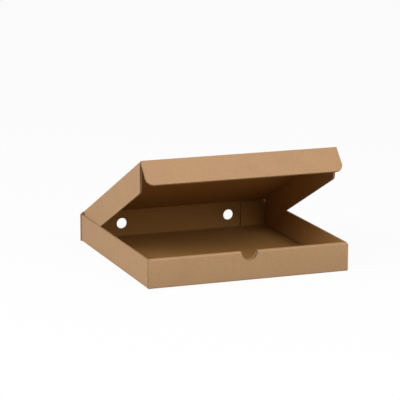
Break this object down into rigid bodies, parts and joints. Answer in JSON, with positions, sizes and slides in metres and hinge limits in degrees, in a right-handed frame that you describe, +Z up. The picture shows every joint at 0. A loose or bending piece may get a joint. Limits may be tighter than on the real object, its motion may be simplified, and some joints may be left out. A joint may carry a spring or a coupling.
{
  "type": "pizza box",
  "caption": "Square corrugated board pizza box, lid partly open on its rear crease, with tuck flaps, a double front wall with thumb notch, and two round rear vents.",
  "frame": {"origin": "middle of the underside, on the surface that the box stands on", "axes": "+X to the right seen from the front, +Y to the rear (hinge) wall, +Z up"},
  "size_m": [0.333, 0.336, 0.1902],
  "materials": {
    "kraft_board": "matt brown kraft liner over corrugated board"
  },
  "bodies": {
    "tray": {"base_tray": "kraft_board"},
    "lid": {"lid_panel": "kraft_board"},
    "front_flap": {"lid_front_flap": "kraft_board"},
    "left_flap": {"lid_left_flap": "kraft_board"},
    "right_flap": {"lid_right_flap": "kraft_board"}
  },
  "joints": [
    {"name": "lid_hinge", "type": "hinge", "parent": "tray", "child": "lid", "pos_m": [0, 0.168, 0.0486], "axis": [-1, 0, 0], "range_deg": [-25.8, 84.2]},
    {"name": "front_flap_fold", "type": "hinge", "parent": "lid", "child": "front_flap", "pos_m": [0, -0.12487, 0.19018], "axis": [-1, 0, 0], "range_deg": [-29.2, 94.8]},
    {"name": "left_flap_fold", "type": "hinge", "parent": "lid", "child": "left_flap", "pos_m": [-0.1592, 0.02256, 0.11536], "axis": [0, -0.9003, 0.4352], "range_deg": [0, 80]},
    {"name": "right_flap_fold", "type": "hinge", "parent": "lid", "child": "right_flap", "pos_m": [0.1592, 0.02256, 0.11536], "axis": [0, 0.9003, -0.4352], "range_deg": [0, 80]}
  ],
  "couplings": [
    {"joint": "front_flap_fold", "follows": "lid_hinge", "ratio": 1.124}
  ]
}
